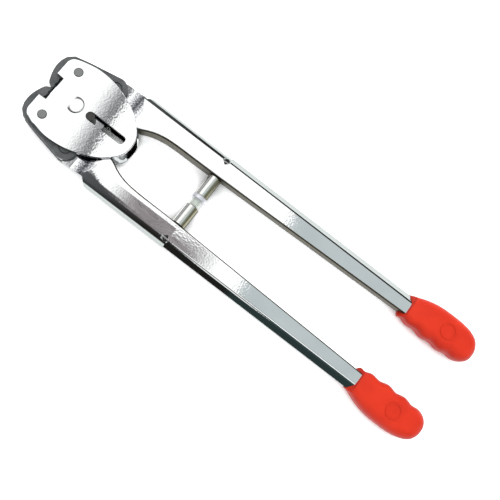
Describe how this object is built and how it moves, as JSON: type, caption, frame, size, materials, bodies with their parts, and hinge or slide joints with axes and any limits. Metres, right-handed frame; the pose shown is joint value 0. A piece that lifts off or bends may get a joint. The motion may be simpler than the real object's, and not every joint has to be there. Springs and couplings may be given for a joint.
{
  "type": "strapping sealer",
  "caption": "Two-handled toggle crimper for closing metal seals on strapping band: hooked jaws between shield-shaped side plates, pressed channel handles with moulded grips.",
  "frame": {"origin": "on the back face of the rear cover plate, midway between the two jaw pivots", "axes": "+X from the jaws to the grips, +Y towards the right handle, +Z out of the front cover plate"},
  "size_m": [0.381, 0.101, 0.0204],
  "materials": {
    "plated_steel": "bright plated pressed steel with a fine speckle",
    "blackened_steel": "matt blackened hardened steel",
    "pin_steel": "plain ground steel",
    "dark_pin_steel": "dark oiled steel",
    "bright_steel": "bright turned steel",
    "grip_plastic": "satin moulded orange-red plastic"
  },
  "bodies": {
    "head": {"front_cover_plate": "plated_steel", "rear_cover_plate": "plated_steel", "anvil_block": "blackened_steel", "jaw_pin_right": "pin_steel", "jaw_pin_left": "pin_steel"},
    "toggle_pin": {"centre_pin": "dark_pin_steel"},
    "right_handle": {"handle_right": "plated_steel", "grip_right": "grip_plastic", "stop_post_right": "bright_steel", "lock_nut": "bright_steel"},
    "left_handle": {"handle_left": "plated_steel", "grip_left": "grip_plastic", "stop_post_left": "bright_steel"},
    "adjusting_screw": {"stop_screw": "bright_steel"},
    "right_jaw": {"front_jaw_right": "blackened_steel", "rear_jaw_right": "blackened_steel", "jaw_bush_right": "pin_steel", "tail_rivet_right": "blackened_steel"},
    "left_jaw": {"front_jaw_left": "blackened_steel", "rear_jaw_left": "blackened_steel", "jaw_bush_left": "pin_steel", "tail_rivet_left": "blackened_steel"}
  },
  "joints": [
    {"name": "right_handle_open", "type": "hinge", "parent": "toggle_pin", "child": "right_handle", "pos_m": [0.028, 0, 0.00925], "axis": [0, 0, 1], "range_deg": [0, 60]},
    {"name": "left_handle_open", "type": "hinge", "parent": "toggle_pin", "child": "left_handle", "pos_m": [0.028, 0, 0.00925], "axis": [0, 0, -1], "range_deg": [0, 60]},
    {"name": "toggle_pin_slide", "type": "slide", "parent": "head", "child": "toggle_pin", "axis": [1, 0, 0], "range_m": [0, 0.0277]},
    {"name": "right_jaw_open", "type": "hinge", "parent": "head", "child": "right_jaw", "pos_m": [0, 0.021, 0.00925], "axis": [0, 0, -1], "range_deg": [0, 24]},
    {"name": "left_jaw_open", "type": "hinge", "parent": "head", "child": "left_jaw", "pos_m": [0, -0.021, 0.00925], "axis": [0, 0, 1], "range_deg": [0, 24]},
    {"name": "stop_screw_adjust", "type": "slide", "parent": "right_handle", "child": "adjusting_screw", "axis": [0, 1, 0], "range_m": [0, 0.004]}
  ],
  "couplings": [
    {"joint": "left_handle_open", "follows": "right_handle_open", "ratio": 1},
    {"joint": "toggle_pin_slide", "follows": "right_handle_open", "m_per_rad": 0.0264},
    {"joint": "right_jaw_open", "follows": "right_handle_open", "ratio": 0.4},
    {"joint": "left_jaw_open", "follows": "right_handle_open", "ratio": 0.4}
  ]
}
